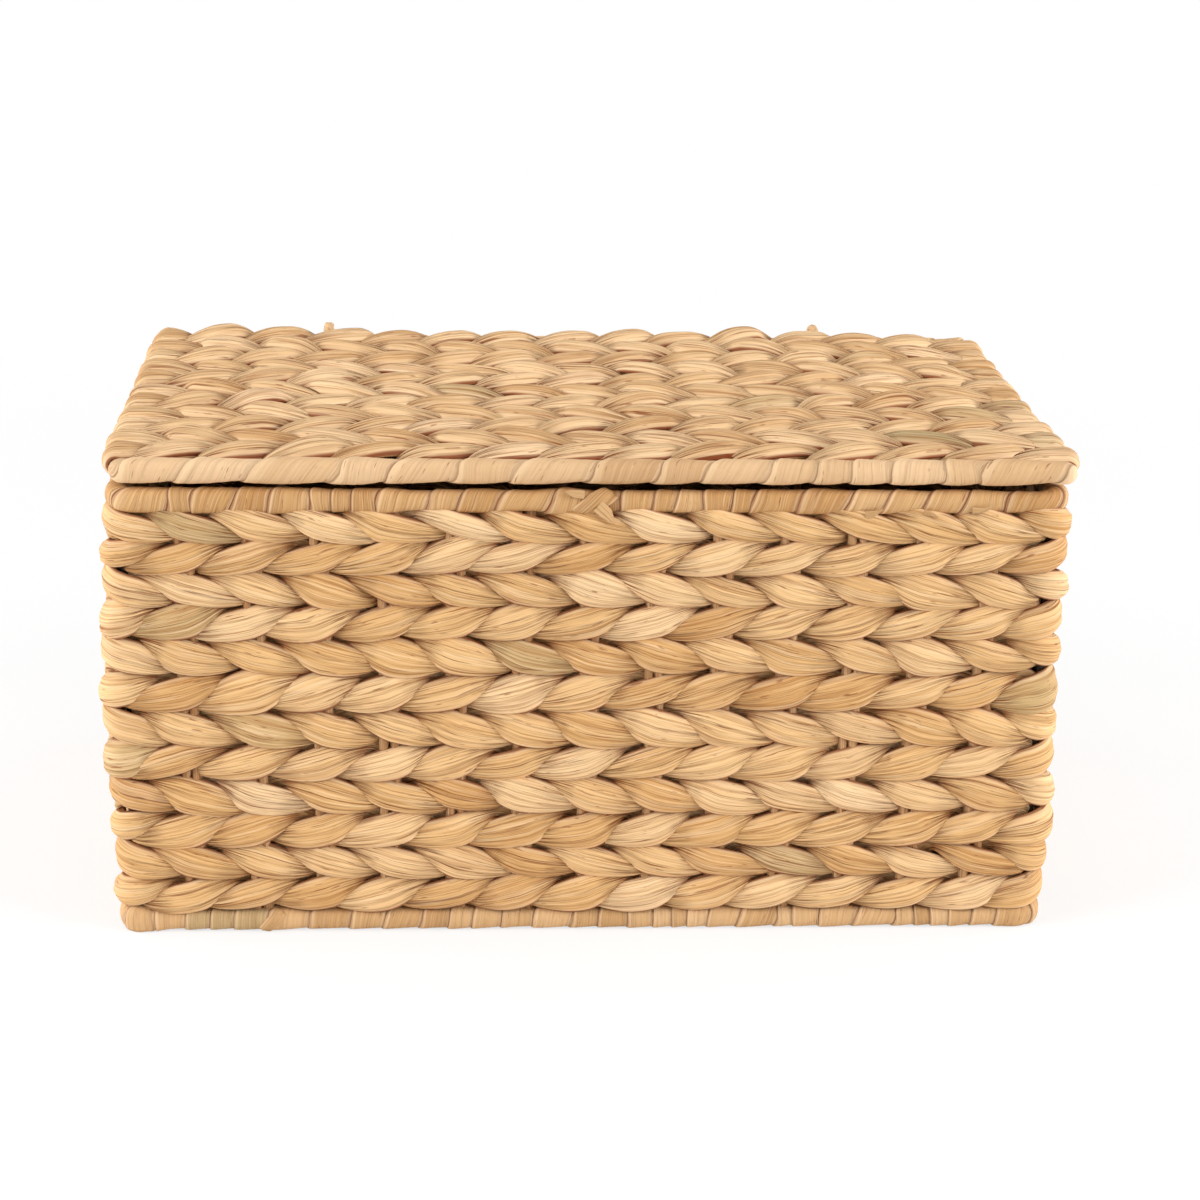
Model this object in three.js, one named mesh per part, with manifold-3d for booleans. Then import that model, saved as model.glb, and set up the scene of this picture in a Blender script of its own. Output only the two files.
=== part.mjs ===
import * as THREE from "three";
import { mergeVertices } from "three/addons/utils/BufferGeometryUtils.js";
import Module from "manifold-3d";

const wasm = await Module();
wasm.setup();

// Sizes in millimetres. X runs along the width, the front faces -Y and Z points up from the floor.
const WIDTH = 400; // over the side walls
const DEPTH = 240; // over the front and back walls
const BODY_HEIGHT = 196; // floor to the top of the body's wrapped rim
const WIRE_DIAMETER = 4; // frame rings and corner posts
const FRAME_CORNER_RADIUS = 9; // wire centre line, seen from above
const WRAP_DIAMETER = 10; // ribbon wound round a rim wire
const WALL_THICKNESS = 14; // outer strand, warp and inner strand
const LID_THICKNESS = 14;
const FLOOR_THICKNESS = 9;
const LID_OVERHANG = 1; // of each side wire of the lid past the body's
const WALL_COURSES = 12;
const LID_COURSES = 11;
const FLOOR_COURSES = 11;
const FRONT_SPACES = 14; // between the warps of the front, back, lid and floor
const SIDE_SPACES = 8; // between the warps of a side wall
const WARP_WIDTH = 9; // two ribbons side by side
const WARP_THICKNESS = 3.4;
const FLOOR_WARP_THICKNESS = 3;
const WARP_TURN = 2.4; // height of the ribbon where it turns along a wire
const STRAND_ROUNDING = 0.33; // chamfer of a strand across the wall, as a share of its thickness
const STRAND_ROUNDING_LENGTH = 2.6; // the same chamfer, along the warp
const TIE_CORD = 4; // thickness of a hinge tie
const TIE_WIDTH = 4.4;
const TIE_WARP = 4; // each tie stands just beside this warp, counted from the middle
const FIT = 0.3; // between neighbours that touch in the real box
const WARP_FIT = 0.4; // on each face of a warp, between the strands
const LID_REST = 0.5; // lid courses above the body's rim
const EDGE_FIT = 1.4; // lid and floor courses from the front and back wraps
const CORNER_STEPS = 4; // an even number, so that a post stands on a bend of the frame
const WIRE_SIDES = 8;
const WRAP_SIDES = 10; // an even number leaves flat facets on top and below

// Places that follow from the sizes
const wireRadius = WIRE_DIAMETER / 2;
const wrapRadius = WRAP_DIAMETER / 2;
const wrapReach = wrapRadius * Math.cos(Math.PI / WRAP_SIDES); // wire centre to a flat facet
const boreRadius = wireRadius + WARP_FIT;
const slotHalf = wireRadius + FIT; // half the slit in a wrap, wide enough for a post
const wallStrand = (WALL_THICKNESS - WARP_THICKNESS) / 2 - WARP_FIT;
const halfX = (WIDTH - WALL_THICKNESS) / 2; // middle of the side walls
const halfY = (DEPTH - WALL_THICKNESS) / 2; // middle of the front and back walls
const lidHalfX = halfX + LID_OVERHANG;
const baseWireZ = wrapReach;
const topWireZ = BODY_HEIGHT - wrapReach;
const lidZ = BODY_HEIGHT + LID_REST + LID_THICKNESS / 2;
const wallBottom = baseWireZ + wrapReach + FIT;
const wallTop = topWireZ - wrapReach - FIT;
const coursePitch = (wallTop - wallBottom) / WALL_COURSES;
const frontSpace = (2 * halfX) / FRONT_SPACES;
const sideSpace = (2 * halfY) / SIDE_SPACES;
const panelHalf = halfY - wrapRadius - EDGE_FIT; // lid and floor courses lie between the front and back wraps
const warpReach = wireRadius + FIT; // a warp ends this far from a wire's centre line
const tieInner = wrapRadius + FIT;
const tieOuter = tieInner + TIE_CORD;
const tieClear = tieOuter + WARP_FIT;
const tieOffset = TIE_WARP * frontSpace + (WARP_WIDTH + TIE_WIDTH) / 2 + WARP_FIT + FIT;

const STRAW = { color: 0xd6a970, roughness: 0.78, metalness: 0 };
const PALE_STRAW = { color: 0xe4bd8e, roughness: 0.75, metalness: 0 };
const RIBBON = { color: 0xe8c397, roughness: 0.7, metalness: 0 };
const WARP_RIBBON = { color: 0xcfae82, roughness: 0.8, metalness: 0 };
const CORD = { color: 0xcb9c68, roughness: 0.8, metalness: 0 };
const STEEL = { color: 0x3a3734, roughness: 0.45, metalness: 0.9 };

function piece(group, name, geometry, look) {
  const mesh = new THREE.Mesh(geometry, new THREE.MeshStandardMaterial(look));
  mesh.name = name;
  group.add(mesh);
  return mesh;
}

function numbered(stem, index) {
  return stem + "_" + String(index + 1).padStart(2, "0");
}

function radians(degrees) {
  return (degrees * Math.PI) / 180;
}

// Points of a rounded rectangle's line as arc centres and outward directions, counterclockwise.
// Each arc is [sign of x, sign of y, first angle, last angle], and arcs join by straight runs.
function framePath(hx, hy, arcs) {
  const path = [];
  for (const [sx, sy, first, last] of arcs) {
    for (let i = 0; i <= CORNER_STEPS; i++) {
      const a = radians(first + ((last - first) * i) / CORNER_STEPS);
      path.push({
        x: sx * (hx - FRAME_CORNER_RADIUS),
        y: sy * (hy - FRAME_CORNER_RADIUS),
        dx: Math.cos(a),
        dy: Math.sin(a),
      });
    }
  }
  return path;
}

const WHOLE_RING = [
  [1, 1, 0, 90],
  [-1, 1, 90, 180],
  [-1, -1, 180, 270],
  [1, -1, 270, 360],
];
const FRONT_EDGE = [
  [-1, -1, 225, 270],
  [1, -1, 270, 315],
];
const BACK_EDGE = [
  [1, 1, 45, 90],
  [-1, 1, 90, 135],
];

// A section of points [outward, up], counterclockwise, carried along a frame path.
function sweep(path, section, closed) {
  const positions = [];
  for (const p of path) {
    for (const [out, up] of section) {
      const r = FRAME_CORNER_RADIUS + out;
      positions.push(p.x + r * p.dx, p.y + r * p.dy, up);
    }
  }
  const n = section.length;
  const index = [];
  const spans = closed ? path.length : path.length - 1;
  for (let i = 0; i < spans; i++) {
    const here = i * n;
    const next = ((i + 1) % path.length) * n;
    for (let j = 0; j < n; j++) {
      const k = (j + 1) % n;
      index.push(here + j, next + j, next + k);
      index.push(here + j, next + k, here + k);
    }
  }
  if (!closed) {
    const outline = section.map(([out, up]) => new THREE.Vector2(out, up));
    const last = (path.length - 1) * n;
    for (const [a, b, c] of THREE.ShapeUtils.triangulateShape(outline, [])) {
      index.push(a, b, c);
      index.push(last + a, last + c, last + b);
    }
  }
  const geometry = new THREE.BufferGeometry();
  geometry.setAttribute("position", new THREE.Float32BufferAttribute(positions, 3));
  geometry.setIndex(index);
  geometry.computeVertexNormals();
  return geometry;
}

// Points of an arc from one angle to another, in degrees, with both ends.
function arc(radius, first, last, steps, x = 0, y = 0) {
  const points = [];
  for (let i = 0; i <= steps; i++) {
    const a = radians(first + ((last - first) * i) / steps);
    points.push([x + radius * Math.cos(a), y + radius * Math.sin(a)]);
  }
  return points;
}

function circle(radius, sides, x = 0, y = 0) {
  return arc(radius, 0, 360, sides, x, y).slice(0, sides);
}

// A ribbon wrap's section: a sleeve round the wire from one slit counterclockwise to the other.
// The two slits may be one. Angles are in degrees from outward, and a slit has parallel sides.
function wrapSection(fromSlit, toSlit) {
  const polar = (r, a) => [r * Math.cos(radians(a)), r * Math.sin(radians(a))];
  const turn = (r) => THREE.MathUtils.radToDeg(Math.asin(slotHalf / r));
  const sleeve = (r, sides) => {
    const first = fromSlit + turn(r);
    const last = toSlit - turn(r);
    const step = 360 / sides;
    const points = [polar(r, first)];
    for (let a = Math.ceil((first + step / 6) / step) * step; a < last - step / 6; a += step) {
      points.push(polar(r, a));
    }
    points.push(polar(r, last));
    return points;
  };
  return [...sleeve(wrapRadius, WRAP_SIDES), ...sleeve(boreRadius, WIRE_SIDES).reverse()];
}

function shapeOf(points, holes = []) {
  const vectors = (list) => list.map(([x, y]) => new THREE.Vector2(x, y));
  const shape = new THREE.Shape(vectors(points));
  shape.holes = holes.map((hole) => new THREE.Path(vectors(hole)));
  return shape;
}

function extruded(shape, length, rounding = 0, roundingLength = 0) {
  const geometry = new THREE.ExtrudeGeometry(shape, {
    depth: length - 2 * roundingLength,
    bevelEnabled: rounding > 0,
    bevelThickness: roundingLength,
    bevelSize: rounding,
    bevelOffset: -rounding,
    bevelSegments: 1,
    curveSegments: 1,
  });
  return geometry.translate(0, 0, roundingLength);
}

// Turns a shape drawn in X and Z, pulled out in Y towards the front, to stand upright.
function upright(geometry) {
  return geometry.rotateX(Math.PI / 2);
}

// Turns a shape drawn in Y and Z, pulled out in X.
function sideways(geometry) {
  const basis = new THREE.Matrix4().makeBasis(
    new THREE.Vector3(0, 1, 0),
    new THREE.Vector3(0, 0, 1),
    new THREE.Vector3(1, 0, 0),
  );
  return geometry.applyMatrix4(basis);
}

function solidOf(geometry) {
  const bare = geometry.clone();
  bare.deleteAttribute("normal");
  bare.deleteAttribute("uv");
  const merged = mergeVertices(bare, 1e-3);
  return new wasm.Manifold(
    new wasm.Mesh({
      numProp: 3,
      vertProperties: merged.attributes.position.array,
      triVerts: new Uint32Array(merged.index.array),
    }),
  );
}

function cut(geometry, cutters) {
  let solid = solidOf(geometry);
  for (const cutter of cutters) {
    solid = solid.subtract(solidOf(cutter));
  }
  const mesh = solid.getMesh();
  const result = new THREE.BufferGeometry();
  result.setAttribute("position", new THREE.BufferAttribute(mesh.vertProperties, 3));
  result.setIndex(new THREE.BufferAttribute(mesh.triVerts, 1));
  result.computeVertexNormals();
  return result;
}

// Evenly spaced places between two frame wires, without the wires themselves.
function warpPlaces(spaces, space) {
  const places = [];
  for (let i = 1; i < spaces; i++) {
    places.push((i - spaces / 2) * space);
  }
  return places;
}

// One ribbon laced back and forth between two wires, drawn flat: legs at the places given,
// joined below and above in turn.
function lacedRibbon(places, bottom, top) {
  const upper = [[places[0] - WARP_WIDTH / 2, top]];
  const lower = [[places[0] - WARP_WIDTH / 2, bottom]];
  for (let i = 0; i + 1 < places.length; i++) {
    const here = places[i] + WARP_WIDTH / 2;
    const next = places[i + 1] - WARP_WIDTH / 2;
    if (i % 2 === 0) {
      const turn = bottom + WARP_TURN;
      upper.push([here, top], [here, turn], [next, turn], [next, top]);
    } else {
      const turn = top - WARP_TURN;
      lower.push([here, bottom], [here, turn], [next, turn], [next, bottom]);
    }
  }
  const end = places[places.length - 1] + WARP_WIDTH / 2;
  upper.push([end, top]);
  lower.push([end, bottom]);
  return shapeOf([...lower, ...upper.reverse()]);
}

function ringOutline(offset) {
  const r = FRAME_CORNER_RADIUS + offset;
  return framePath(halfX, halfY, WHOLE_RING).map((p) => [p.x + r * p.dx, p.y + r * p.dy]);
}

// A twined wall course seen from above: the outer and the inner strand, a slit for the warps of
// each wall, and an eye round each corner post.
function wallCourseShape() {
  const gap = WARP_THICKNESS / 2 + WARP_FIT;
  const reach = WARP_WIDTH / 2 + FIT;
  const runX = halfX - frontSpace + reach;
  const runY = halfY - sideSpace + reach;
  const slit = (x, y, dx, dy) => [
    [x - dx, y - dy],
    [x + dx, y - dy],
    [x + dx, y + dy],
    [x - dx, y + dy],
  ];
  const holes = [
    ringOutline(-WALL_THICKNESS / 2),
    slit(0, -halfY, runX, gap),
    slit(0, halfY, runX, gap),
    slit(-halfX, 0, gap, runY),
    slit(halfX, 0, gap, runY),
  ];
  const eye = Math.SQRT2 * (wireRadius + WARP_FIT);
  for (const [x, y] of postPlaces) {
    holes.push(circle(eye, 4, x, y));
  }
  return shapeOf(ringOutline(WALL_THICKNESS / 2), holes);
}

// A long loop seen from the front, over the warps, under them and round both ends.
function panelLoop(halfLength, thickness, strand) {
  const stadium = (length, half) => [
    ...arc(half, -90, 90, 4, length - half),
    ...arc(half, 90, 270, 4, half - length),
  ];
  const inner = stadium(halfLength - strand, thickness / 2 - strand);
  return shapeOf(stadium(halfLength, thickness / 2), [inner]);
}

const part = new THREE.Group();
part.name = "woven_lidded_box";
const body = new THREE.Group();
body.name = "body";
const lid = new THREE.Group();
lid.name = "lid";
lid.position.z = lidZ;
const ties = new THREE.Group();
ties.name = "hinge_ties";
part.add(body, lid, ties);

// Wire frame of the body: two rings and four posts at the corners
const wireSection = circle(wireRadius, WIRE_SIDES);
const ringPath = framePath(halfX, halfY, WHOLE_RING);
const lidPath = framePath(lidHalfX, halfY, WHOLE_RING);
piece(body, "top_rim_wire", sweep(ringPath, wireSection, true), STEEL).position.z = topWireZ;
piece(body, "base_rim_wire", sweep(ringPath, wireSection, true), STEEL).position.z = baseWireZ;

const warpBottom = baseWireZ + warpReach;
const warpTop = topWireZ - warpReach;
const cornerIn = FRAME_CORNER_RADIUS * (1 - Math.SQRT1_2);
const postX = halfX - cornerIn;
const postY = halfY - cornerIn;
const postPlaces = [
  [-postX, -postY],
  [postX, -postY],
  [postX, postY],
  [-postX, postY],
];
const POST_NAMES = ["front_left", "front_right", "back_right", "back_left"];
postPlaces.forEach(([x, y], i) => {
  const post = extruded(shapeOf(circle(wireRadius, WIRE_SIDES)), warpTop - warpBottom);
  piece(body, POST_NAMES[i] + "_post", post, STEEL).position.set(x, y, warpBottom);
});

// Upright warps, one laced ribbon to a wall
const frontPlaces = warpPlaces(FRONT_SPACES, frontSpace);
const sidePlaces = warpPlaces(SIDE_SPACES, sideSpace);
for (const [name, y] of [["front_warp", -halfY], ["back_warp", halfY]]) {
  const ribbon = extruded(lacedRibbon(frontPlaces, warpBottom, warpTop), WARP_THICKNESS);
  piece(body, name, upright(ribbon), WARP_RIBBON).position.y = y + WARP_THICKNESS / 2;
}
for (const [name, x] of [["left_warp", -halfX], ["right_warp", halfX]]) {
  const ribbon = extruded(lacedRibbon(sidePlaces, warpBottom, warpTop), WARP_THICKNESS);
  piece(body, name, sideways(ribbon), WARP_RIBBON).position.x = x - WARP_THICKNESS / 2;
}

// The room for both ties beside a rim: an outline about its wire, seen from the side, cut through
// at each tie.
function tieRooms(outline, z) {
  const width = TIE_WIDTH + 2 * WARP_FIT;
  const shape = shapeOf(outline.map(([y, up]) => [halfY + y, z + up]));
  return [-tieOffset, tieOffset].map((x) =>
    sideways(extruded(shape, width)).translate(x - width / 2, 0, 0),
  );
}

// Under the body's rim a tie turns about the wire, and swings out behind it as the lid opens.
const swing = WALL_THICKNESS / 2 + tieClear;
const bodyTieRoom = [...arc(tieClear, 0, 270, 12), [swing, -tieClear], [swing, 0]];
// In the lid it turns about the lid's wire, and hangs straight down in front of it when closed.
const lidTieRoom = [...arc(tieClear, -90, 180, 12), [-tieClear, -LID_THICKNESS], [0, -LID_THICKNESS]];

// Wall courses from the base up
const courseShape = wallCourseShape();
for (let i = 0; i < WALL_COURSES; i++) {
  const z = wallBottom + i * coursePitch;
  const height = coursePitch - FIT;
  let course = extruded(courseShape, height, STRAND_ROUNDING * wallStrand, STRAND_ROUNDING_LENGTH);
  course.translate(0, 0, z);
  if (i === WALL_COURSES - 1) {
    course = cut(course, tieRooms(bodyTieRoom, topWireZ));
  }
  piece(body, numbered("wall_course", i), course, STRAW);
}

// Ribbon wraps of the body's rims, slit where posts and warps reach the wire
const topWrap = sweep(ringPath, wrapSection(-90, 270), true);
piece(body, "top_rim_wrap", topWrap, PALE_STRAW).position.z = topWireZ;
const baseWrap = sweep(ringPath, wrapSection(180, 450), true);
piece(body, "base_rim_wrap", baseWrap, PALE_STRAW).position.z = baseWireZ;

// Flat laced ribbon between the front and back wires of the floor or the lid
function flatWarp(places, thickness) {
  const ribbon = lacedRibbon(places, warpReach - halfY, halfY - warpReach);
  return extruded(ribbon, thickness).translate(0, 0, -thickness / 2);
}

// Loops across the floor or the lid, from the front to the back
function panelCourse(loop, strand, index, count) {
  const pitch = (2 * panelHalf) / count;
  const course = extruded(loop, pitch - FIT, STRAND_ROUNDING * strand, STRAND_ROUNDING_LENGTH);
  return upright(course).translate(0, -panelHalf + (index + 1) * pitch - FIT / 2, 0);
}

// Woven floor, inside the base ring: an edge warp by each side wrap and one below every front warp
const floorReach = halfX - wrapRadius - FIT;
const floorStrand = (FLOOR_THICKNESS - FLOOR_WARP_THICKNESS) / 2 - WARP_FIT;
const floorEdge = floorReach - FLOOR_THICKNESS / 2 - FIT - WARP_WIDTH / 2;
const floorWarp = flatWarp([-floorEdge, ...frontPlaces, floorEdge], FLOOR_WARP_THICKNESS);
piece(body, "floor_warp", floorWarp, WARP_RIBBON).position.z = baseWireZ;
const floorLoop = panelLoop(floorReach, FLOOR_THICKNESS, floorStrand);
for (let i = 0; i < FLOOR_COURSES; i++) {
  const course = panelCourse(floorLoop, floorStrand, i, FLOOR_COURSES);
  piece(body, numbered("floor_course", i), course, STRAW).position.z = baseWireZ;
}

// Lid: its own wire ring, laced warps, loops that turn over the side wires, and two wrapped edges
piece(lid, "lid_frame_wire", sweep(lidPath, wireSection, true), STEEL);
piece(lid, "lid_warp", flatWarp(frontPlaces, WARP_THICKNESS), WARP_RIBBON);
const lidStrand = (LID_THICKNESS - Math.max(WARP_THICKNESS, WIRE_DIAMETER)) / 2 - WARP_FIT;
const lidReach = lidHalfX + wireRadius + WARP_FIT + lidStrand;
const lidLoop = panelLoop(lidReach, LID_THICKNESS, lidStrand);
for (let i = 0; i < LID_COURSES; i++) {
  let course = panelCourse(lidLoop, lidStrand, i, LID_COURSES);
  if (i === LID_COURSES - 1) {
    course = cut(course, tieRooms(lidTieRoom, 0));
  }
  piece(lid, numbered("lid_course", i), course, STRAW);
}
const edgeSection = wrapSection(180, 540);
const frontEdge = framePath(lidHalfX, halfY, FRONT_EDGE);
const backEdge = framePath(lidHalfX, halfY, BACK_EDGE);
piece(lid, "lid_front_wrap", sweep(frontEdge, edgeSection, false), RIBBON);
piece(lid, "lid_back_wrap", sweep(backEdge, edgeSection, false), RIBBON);

// Hinge ties: a cord loop round the back rims of the body and the lid, on each side
function tieLoop(radius) {
  return [...arc(radius, 0, 180, 6, halfY, lidZ), ...arc(radius, 180, 360, 6, halfY, topWireZ)];
}
const tieShape = shapeOf(tieLoop(tieOuter), [tieLoop(tieInner)]);
for (const [name, x] of [["left_hinge_tie", -tieOffset], ["right_hinge_tie", tieOffset]]) {
  const loop = sideways(extruded(tieShape, TIE_WIDTH, TIE_CORD / 4, TIE_WIDTH / 4));
  piece(ties, name, loop, CORD).position.x = x - TIE_WIDTH / 2;
}

export default part;
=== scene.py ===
"""The looks of a woven lidded box: twined strands, ribbon bindings and cord ties, in the part's frame."""

import math

import bpy
import numpy as np
from mathutils import Matrix, Vector


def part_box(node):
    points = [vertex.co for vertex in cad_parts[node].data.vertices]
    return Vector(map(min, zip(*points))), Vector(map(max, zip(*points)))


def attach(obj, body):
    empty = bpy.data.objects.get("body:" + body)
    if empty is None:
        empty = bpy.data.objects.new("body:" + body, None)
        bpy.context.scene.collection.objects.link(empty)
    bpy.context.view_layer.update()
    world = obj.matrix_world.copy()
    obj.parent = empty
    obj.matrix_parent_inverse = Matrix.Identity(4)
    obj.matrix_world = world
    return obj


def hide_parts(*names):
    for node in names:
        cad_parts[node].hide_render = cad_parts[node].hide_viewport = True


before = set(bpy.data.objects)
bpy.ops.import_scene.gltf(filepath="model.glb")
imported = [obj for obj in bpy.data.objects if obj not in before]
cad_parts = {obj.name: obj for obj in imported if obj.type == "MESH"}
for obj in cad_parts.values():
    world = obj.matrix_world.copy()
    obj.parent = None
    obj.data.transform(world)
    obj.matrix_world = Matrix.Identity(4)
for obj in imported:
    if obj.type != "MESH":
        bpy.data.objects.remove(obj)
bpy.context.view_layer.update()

MM = 0.001
UP = np.array([0.0, 0.0, 1.0])

# Counts of the weave
WALL_COURSES = 12
LID_COURSES = 11
FLOOR_COURSES = 11
FRONT_SPACES = 14  # between the warps of the front, back, lid and floor
SIDE_SPACES = 8  # between the warps of a side wall

# Camera and picture
PICTURE = 1200  # pixels across the photograph
SENSOR = 36.0  # mm
FOCAL_PIXELS = 2640.0
CAMERA_PLACE = (-48.6 * MM, -1144.0 * MM, 499.6 * MM)
CAMERA_PITCH = 18.8  # degrees below level
CAMERA_YAW = 2.94  # degrees to the right of straight on
CAMERA_ROLL = -0.97  # degrees


def middle(node):
    """The middle of a node's box and half of each side."""
    low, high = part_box(node)
    return (low + high) / 2, (high - low) / 2


# Places read off the frame
wire_middle, wire_half = middle("top_rim_wire")
lid_middle, lid_half = middle("lid_frame_wire")
floor_middle, floor_half = middle("floor_course_01")
WIRE_RADIUS = wire_half.z
HALF_X = wire_half.x - WIRE_RADIUS  # middle of the side walls
HALF_Y = wire_half.y - WIRE_RADIUS  # middle of the front and back walls
LID_HALF_X = lid_half.x - WIRE_RADIUS
RIM_Z = wire_middle.z
BASE_Z = middle("base_rim_wire")[0].z
LID_Z = lid_middle.z
FLOOR_Z = floor_middle.z
CORNER_RADIUS = 9 * MM


def course_name(kind, number):
    return f"{kind}_course_{number:02d}"


def eased(t):
    return t * t * (3 - 2 * t)


def between(values, place, closed):
    """Values given at whole places, eased from each one to the next."""
    low = np.floor(place).astype(int)
    count = len(values)
    if closed:
        first, second = values[low % count], values[(low + 1) % count]
    else:
        first = values[np.clip(low, 0, count - 1)]
        second = values[np.clip(low + 1, 0, count - 1)]
    return first + (second - first) * eased(place - low)


STITCH_CHANGE = 0.15  # of the way from one stitch to the next, where a held value changes


def held(values, place, twin, closed):
    """Values that stay the same over a whole stitch and change behind the warps."""
    turn = (place - twin + 1) / 2
    low = np.floor(turn)
    return between(values, low - 1 + np.clip((turn - low) / STITCH_CHANGE, 0, 1), closed)


def unit(vectors):
    return vectors / np.linalg.norm(vectors, axis=-1, keepdims=True)


def grid(rows, columns, close_rows, close_columns, shift=0):
    """Faces of a grid of points, and each face corner's row and column before it wraps round.
    The last column joins the first one, shift rows on."""
    row_count = rows if close_rows else rows - 1
    column_count = columns if close_columns else columns - 1
    row, column = (places.ravel() for places in np.indices((row_count, column_count)))
    corner_rows = np.stack([row, row, row + 1, row + 1], axis=1)
    corner_columns = np.stack([column, column + 1, column + 1, column], axis=1)
    wrapped_rows = corner_rows + shift * (corner_columns // columns)
    keep = np.ones(len(row), bool)
    if close_rows:
        wrapped_rows = wrapped_rows % rows
    else:
        keep = ((wrapped_rows >= 0) & (wrapped_rows < rows)).all(axis=1)
    faces = wrapped_rows * columns + corner_columns % columns
    return faces[keep], corner_rows[keep], corner_columns[keep]


class Mesh:
    """Points, faces, fibre coordinates and painted values gathered into one mesh."""

    def __init__(self):
        self.points, self.faces, self.fibre = [], [], []
        self.values = {"tint": [], "pinch": [], "seed": [], "green": []}
        self.count = 0

    def add(self, points, faces, fibre, tint, pinch, seed, green=0.0):
        self.points.append(points.reshape(-1, 3))
        self.faces.append(faces + self.count)
        self.fibre.append(fibre)
        for name, value in (("tint", tint), ("pinch", pinch), ("seed", seed), ("green", green)):
            self.values[name].append(np.broadcast_to(value, points.shape[:-1]).reshape(-1))
        self.count += len(self.points[-1])

    def piece(self, name, material, body, slot, *nodes):
        """Makes one object of this mesh, riding on a body in place of its nodes."""
        points = np.concatenate(self.points)
        points[:, 2] = np.maximum(points[:, 2], 0.0)  # what lies on the floor is flat there
        faces = np.concatenate(self.faces)
        fibre = np.concatenate(self.fibre)
        mesh = bpy.data.meshes.new(name)
        mesh.vertices.add(len(points))
        mesh.vertices.foreach_set("co", points.astype(np.float32).ravel())
        mesh.loops.add(faces.size)
        mesh.loops.foreach_set("vertex_index", faces.astype(np.int32).ravel())
        mesh.polygons.add(len(faces))
        mesh.polygons.foreach_set("loop_start", np.arange(0, faces.size, 4, dtype=np.int32))
        mesh.update(calc_edges=True)
        layer = mesh.uv_layers.new(name="fibre")
        layer.data.foreach_set("uv", fibre.astype(np.float32).ravel())
        for key, parts in self.values.items():
            painted = mesh.attributes.new(key, "FLOAT", "POINT")
            painted.data.foreach_set("value", np.concatenate(parts).astype(np.float32))
        mesh.polygons.foreach_set("use_smooth", np.ones(len(faces), bool))
        mesh.validate()
        mesh.materials.append(material)
        made = bpy.data.objects.new(name, mesh)
        bpy.context.scene.collection.objects.link(made)
        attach(made, body)
        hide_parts(*nodes)


# Node materials
def new_material(name):
    """A material with an empty node tree, and that tree."""
    made = bpy.data.materials.new(name)
    made.use_nodes = True
    made.node_tree.nodes.clear()
    return made, made.node_tree


def add_node(tree, kind, inputs=None, **settings):
    """A new node. An input is a plain value or the output of another node."""
    made = tree.nodes.new(kind)
    for key, value in settings.items():
        setattr(made, key, value)
    for key, value in (inputs or {}).items():
        if isinstance(value, bpy.types.NodeSocket):
            tree.links.new(value, made.inputs[key])
        else:
            made.inputs[key].default_value = value
    return made


def linear(colour):
    """An sRGB colour of 0 to 255 as the linear colour that the nodes take."""
    shares = [c / 255 for c in colour]
    parts = [c / 12.92 if c <= 0.04045 else ((c + 0.055) / 1.055) ** 2.4 for c in shares]
    return (*parts, 1.0)


def math_node(tree, operation, first, second=0.0, third=0.0):
    inputs = {0: first, 1: second, 2: third}
    return add_node(tree, "ShaderNodeMath", inputs, operation=operation).outputs[0]


def mixed(tree, share, first, second):
    """A mix of two colours, whose sockets are 6 and 7 of the node's inputs."""
    inputs = {0: share, 6: first, 7: second}
    return add_node(tree, "ShaderNodeMix", inputs, data_type="RGBA").outputs[2]


def ranged(tree, value, low, high, to_low=0.0, to_high=1.0):
    """A value eased from low and high to two other values."""
    inputs = {0: value, 1: low, 2: high, 3: to_low, 4: to_high}
    return add_node(tree, "ShaderNodeMapRange", inputs, interpolation_type="SMOOTHSTEP").outputs[0]


def ramp(tree, value, stops):
    made = add_node(tree, "ShaderNodeValToRGB", {0: value})
    elements = made.color_ramp.elements
    while len(elements) < len(stops):
        elements.new(0.5)
    for element, (place, colour) in zip(elements, stops):
        element.position = place
        element.color = linear(colour)
    return made.outputs[0]


def bumpy_surface(tree, height, depth, strength, looks):
    """Makes a surface with a bump of a depth in metres the output of a material."""
    bump = add_node(tree, "ShaderNodeBump", {"Height": height, "Distance": depth, "Strength": strength})
    shader = add_node(tree, "ShaderNodeBsdfPrincipled", {**looks, "Normal": bump.outputs[0]})
    add_node(tree, "ShaderNodeOutputMaterial", {0: shader.outputs[0]})


# Colours of the fibre, as stops from the darkest stem to the palest
STRAND_STOPS = [
    (0.0, (200, 145, 87)), (0.14, (216, 167, 109)), (0.4, (230, 185, 127)),
    (0.7, (239, 197, 142)), (1.0, (248, 213, 167)),
]
LID_STOPS = [
    (0.0, (199, 151, 101)), (0.14, (213, 170, 120)), (0.4, (226, 186, 137)),
    (0.7, (235, 198, 151)), (1.0, (244, 209, 168)),
]
RIBBON_STOPS = [
    (0.0, (198, 156, 112)), (0.3, (216, 177, 132)), (0.65, (227, 190, 147)), (1.0, (236, 202, 162)),
]
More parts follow.
